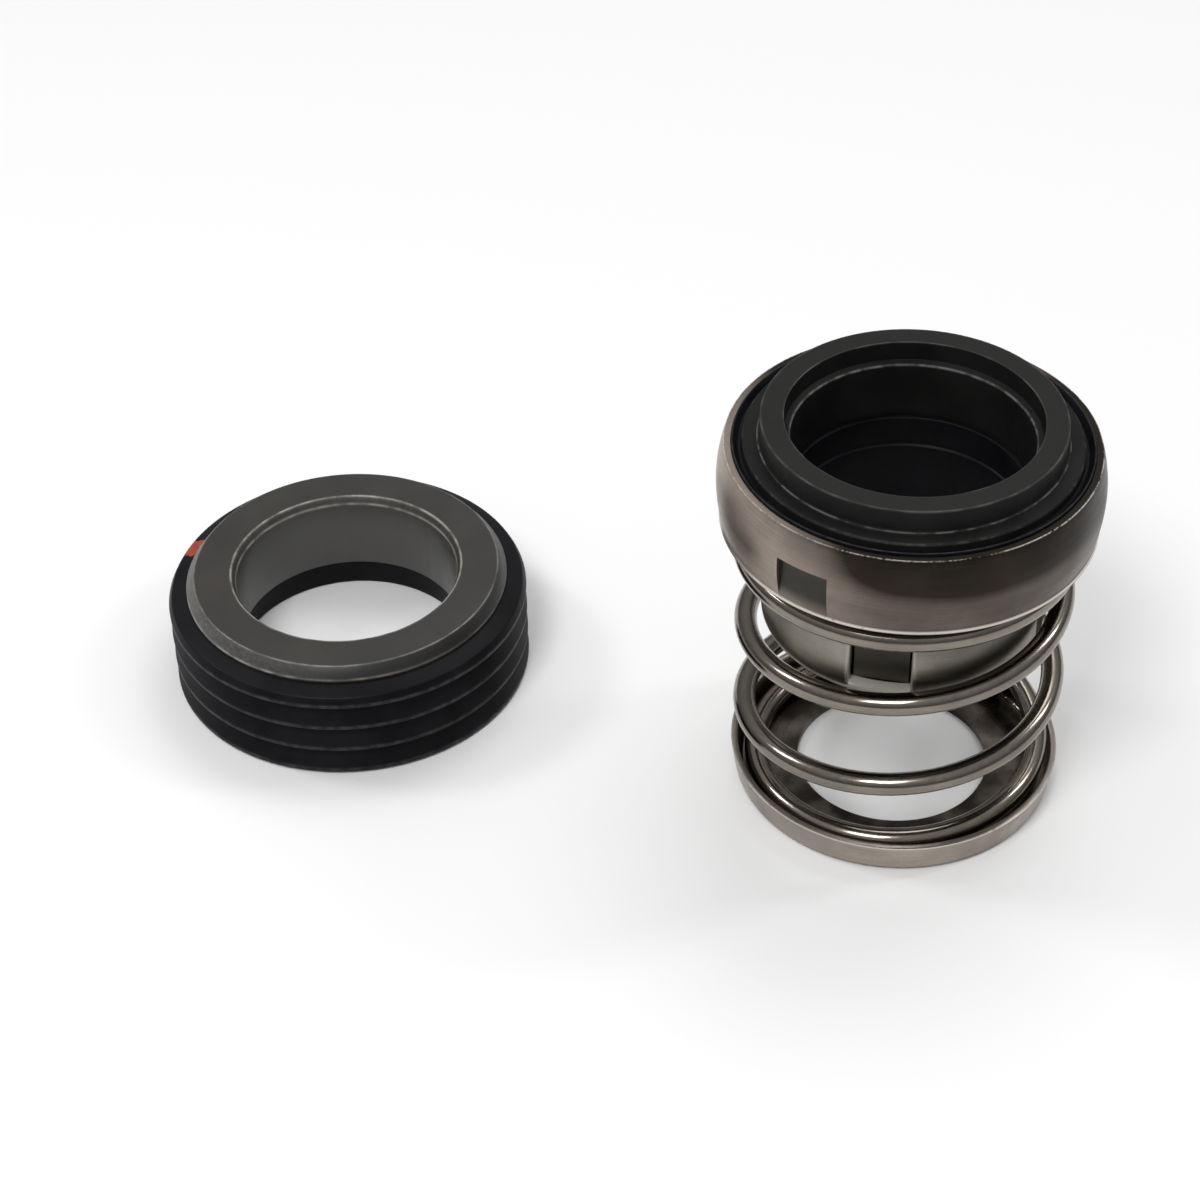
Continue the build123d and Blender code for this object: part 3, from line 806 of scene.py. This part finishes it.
def carbon(name):
    """Dense carbon graphite: matt and turned, with a lapped nose face, and grey on chipped edges and as
    painted highlights.
    """
    look = Look(name)
    grain = look.noise(0.18, detail=5.0, roughness=0.65)
    marks = look.turned_noise(along=12.0, across=0.12, detail=2.0, seed=3.0)
    cloud = look.noise(6.0, seed=7.0)
    face_low, face_high = FACE_Z - 0.12, FACE_Z - 0.02
    shade = look.mix(look.ease(cloud, 0.3, 0.7), CARBON, CLOUDY_CARBON)
    shade = look.mix(look.ease(grain, 0.6, 0.78, 0.0, 0.4), shade, GRAINY_CARBON)
    shade = look.mix(look.product(look.ease(look.height, face_low, face_high), 0.7), shade, LAPPED_CARBON)
    wear_and_highlight = look.most(
        look.worn_and_highlit_edge(NOSE_R, FACE_Z, 0.32,
                       size=2.6, seed=2.0, span=(0.4, 0.64), wear_and_highlight=(0.1, 0.35)),
        look.worn_and_highlit_edge(NOSE_BORE_R, FACE_Z, 0.22,
                       size=3.0, seed=5.0, span=(0.45, 0.66), wear_and_highlight=(0.1, 0.4)),
        # Painted highlight along the bore's ledge.
        look.worn_and_highlit_edge(RING_BORE_R, RING_BORE_TOP_Z, 0.3,
                       size=1.4, seed=6.0, span=(0.36, 0.62), wear_and_highlight=(0.2, 0.8)),
        look.worn_and_highlit_edge(RING_LAND_R, RING_LAND_Z, 0.26,
                       size=2.0, seed=11.0, span=(0.42, 0.6), wear_and_highlight=(0.1, 0.7)),
        look.worn_and_highlit_edge(RING_R, RING_SHOULDER_Z, 0.3,
                       size=1.2, roughness=0.7, seed=14.0, span=(0.48, 0.66), wear_and_highlight=(0.0, 0.5)),
    )
    shade = look.mix(wear_and_highlight, shade, CHIPPED_AND_HIGHLIGHT_CARBON)
    rough = look.swing(look.ease(look.height, face_low, face_high, 0.5, 0.42), marks, 0.2)
    relief = look.bump(grain, 0.006)
    relief = look.bump(marks, 0.006, under=relief)
    return look.finish(color=shade, roughness=rough, normal=relief, specular=0.14)


def seat_ring(name):
    """Dark lapped seat ring, dense and glassy: satin face, ground bevel and chamfer, nicked edges, and
    painted light and shade.
    """
    look = Look(name, SEAT_AXIS)
    grain = look.noise(0.15, detail=4.0, roughness=0.6)
    marks = look.turned_noise(along=16.0, across=0.1, detail=2.0, seed=3.0)
    cloud = look.noise(8.0, seed=7.0)
    bevel = look.product(look.ease(look.radius, SEAT_FACE_R - 0.02, SEAT_FACE_R + 0.05),
                         look.ease(look.height, SEAT_RIM_Z - 0.1, SEAT_RIM_Z + 0.05))
    chamfer = look.product(look.ease(look.radius, SEAT_FACE_BORE_R - 0.05, SEAT_FACE_BORE_R, 1.0, 0.0),
                           look.ease(look.height, SEAT_CHAMFER_Z - 0.05, SEAT_CHAMFER_Z + 0.05))
    bore = look.ease(look.radius, SEAT_BORE_R + 0.05, SEAT_BORE_R + 0.1, 1.0, 0.0)
    ground = look.ease(look.noise(0.5, roughness=0.7, seed=4.0), 0.3, 0.7, 0.4, 1.0)
    # Scuffs on the bevel, and painted light: the bevel lighter on one side.
    scuffed_and_lit = look.product(look.ease(look.facing(SEAT_SCUFFED_AND_LIT_AT), 0.0, 0.95, 0.0, 0.5), ground)

    shade = look.mix(look.ease(cloud, 0.3, 0.7), DARK_SEAT, CLOUDY_SEAT)
    shade = look.mix(look.product(bore, 0.7), shade, DULL_BORE)
    # Painted shade: the bevel dark away from that side, at the front.
    shade = look.mix(bevel, shade, look.mix(scuffed_and_lit, SHADED_BEVEL, SCUFFED_AND_LIT_BEVEL))
    # Ground chamfer, with a painted sheen.
    shade = look.mix(look.product(chamfer, ground, 0.18), shade, GROUND_AND_SHEEN_CHAMFER)
    bevel_foot = look.ease(look.facing(SEAT_NICKED_AT), -0.3, 0.85, 0.25, 0.9)
    edges = look.most(
        look.product(look.near_line(SEAT_FACE_R, SEAT_FACE_Z, 0.22), 0.5),
        look.product(look.near_line(SEAT_RIM_R, SEAT_RIM_Z, 0.28), bevel_foot),
        # Painted highlights along the bore's edges.
        look.near_line(SEAT_FACE_BORE_R, SEAT_FACE_Z, 0.3),
        look.near_line(SEAT_BORE_R, SEAT_CHAMFER_Z, 0.32),
    )
    nicks = look.ease(look.noise(2.4, detail=4.0, roughness=0.6, seed=2.0), 0.36, 0.6, 0.25, 1.0)
    shade = look.mix(look.product(edges, nicks), shade, NICKED_AND_HIGHLIGHT_SEAT)

    rough = look.swing(look.ease(cloud, 0.3, 0.7, 0.3, 0.36), marks, 0.1)
    rough = look.plus(rough, bevel, 0.08)
    relief = look.bump(grain, 0.003)
    relief = look.bump(marks, 0.003, under=relief)
    return look.finish(color=shade, roughness=rough, normal=relief, ior=1.62)


def dress(piece, material):
    """Makes a material the piece's only one."""
    piece.data.materials.clear()
    piece.data.materials.append(material)


# ------------------------------------------------------------------ broken edges
# Width of the broken edges on each rigid node
EDGE_WIDTHS = {
    "spring_holder": 0.1,
    "drive_band": 0.1,
    "retainer": 0.12,
    "primary_ring": 0.1,
    "mating_ring": 0.07,
}
EDGE_ANGLE = math.radians(28)  # edges that turn by more than this are broken
EDGE_SEGMENTS = 3
WELD = 0.002                   # joins the corners that neighbouring faces share


def break_edges(piece, width):
    """Rounds a piece's sharp edges by a hair, as deburring does. The solid's own mesh stays as it is."""
    weld = piece.modifiers.new("weld", "WELD")
    weld.merge_threshold = WELD * MM
    bevel = piece.modifiers.new("bevel", "BEVEL")
    bevel.width = width * MM
    bevel.segments = EDGE_SEGMENTS
    bevel.limit_method = "ANGLE"
    bevel.angle_limit = EDGE_ANGLE
    bevel.harden_normals = True


# ------------------------------------------------------------------ floor and light
FLOOR_WHITE = 0.93
FLOOR_SIZE = 6                         # metres
AIM = Vector((-0.02, 0.0, 0.03))       # point that the lamps face, in metres
DOME_RISE = (0.1, 0.8)                 # sines of the elevation between which the dome brightens
DOME_STRENGTH = (0.21, 0.53)


def make_floor():
    """White ground under the object."""
    bpy.ops.mesh.primitive_plane_add(size=FLOOR_SIZE)
    floor = bpy.context.object
    floor.name = "floor"
    white = (FLOOR_WHITE, FLOOR_WHITE, FLOOR_WHITE)
    dress(floor, Look("floor").finish(color=white, roughness=0.6))


def make_world():
    """Studio dome: bright overhead, dimmer towards the horizon."""
    world = bpy.data.worlds.new("world")
    bpy.context.scene.world = world
    world.use_nodes = True
    tree = world.node_tree
    background = tree.nodes["Background"]
    direction = tree.nodes.new("ShaderNodeSeparateXYZ")
    tree.links.new(tree.nodes.new("ShaderNodeTexCoord").outputs["Generated"], direction.inputs[0])
    rise = tree.nodes.new("ShaderNodeMapRange")
    rise.interpolation_type = "SMOOTHSTEP"
    for socket, value in zip(rise.inputs[1:5], (*DOME_RISE, *DOME_STRENGTH)):
        socket.default_value = value
    tree.links.new(direction.outputs[2], rise.inputs[0])
    tree.links.new(rise.outputs[0], background.inputs["Strength"])
    background.inputs["Color"].default_value = (1, 1, 1, 1)


def softbox(name, azimuth, elevation, distance, size, floor_share):
    """Rectangular lamp that faces AIM. floor_share is how bright it alone makes the floor, 1 being white."""
    data = bpy.data.lights.new(name, "AREA")
    data.shape = "RECTANGLE"
    data.size, data.size_y = size
    around, up = math.radians(azimuth), math.radians(elevation)
    data.energy = floor_share * (math.pi * distance) ** 2 / (FLOOR_WHITE * math.sin(up))
    light = bpy.data.objects.new(name, data)
    bpy.context.scene.collection.objects.link(light)
    toward = Vector((math.cos(around) * math.cos(up), math.sin(around) * math.cos(up), math.sin(up)))
    light.location = AIM + toward * distance
    light.rotation_euler = (-toward).to_track_quat("-Z", "Y").to_euler()


# ------------------------------------------------------------------ making
make_camera()
spring = make_spring()
bellows = make_bellows()
boot = make_boot()

# Painted highlights along the spring holder's rim edges.
holder_highlight_edges = [
    (HOLDER_R + 0.58, HOLDER_RIM_Z - 0.1, 0.25, 0.36),
    (HOLDER_R - 0.12, HOLDER_RIM_Z - 0.1, 0.2, 0.4),
]
# Worn bright on the retainer's rim, and worn with a painted highlight on its bead.
retainer_worn_and_highlight_edges = [
    (RIM_R, RIM_Z, 0.16, 0.46),
    (BEAD_R, BEAD_Z, 0.3, 0.34),
]
dress(NODES["spring_holder"], steel("holder_steel", LIT_HOLDER_STEEL, 0.3, holder_highlight_edges, film_and_shade=holder_floor_shade_and_traces))
dress(NODES["drive_band"], steel("band_steel", BAND_STEEL, 0.34, film_and_shade=band_film_and_light, cut_and_light=slot_faces_and_highlight))
dress(NODES["retainer"], steel("retainer_steel", RETAINER_STEEL, 0.38, retainer_worn_and_highlight_edges,
                               film_and_shade=retainer_film_and_shade, patch_and_shade=dent_dull_and_shade))
dress(spring, steel("wire_steel", WIRE_STEEL, 0.15))
dress(bellows, rubber("bellows_rubber", edges=[(WALL_R - 0.8, LIP_Z, 0.2)]))
dress(boot, rubber("boot_rubber", axis=SEAT_AXIS, edges=[(RIB_R, None, 0.1)], paint=paint_mark))
dress(NODES["primary_ring"], carbon("carbon"))
dress(NODES["mating_ring"], seat_ring("seat_ring"))

for node, width in EDGE_WIDTHS.items():
    break_edges(NODES[node], width)

make_floor()
make_world()
softbox("key", azimuth=-112, elevation=57, distance=0.8, size=(0.26, 0.24), floor_share=0.34)
softbox("back", azimuth=70, elevation=62, distance=0.9, size=(0.5, 0.35), floor_share=0.16)
softbox("left", azimuth=168, elevation=42, distance=0.9, size=(0.18, 0.18), floor_share=0.1)
softbox("right", azimuth=20, elevation=42, distance=0.9, size=(0.1, 0.24), floor_share=0.07)

bpy.context.scene.view_settings.view_transform = "Standard"
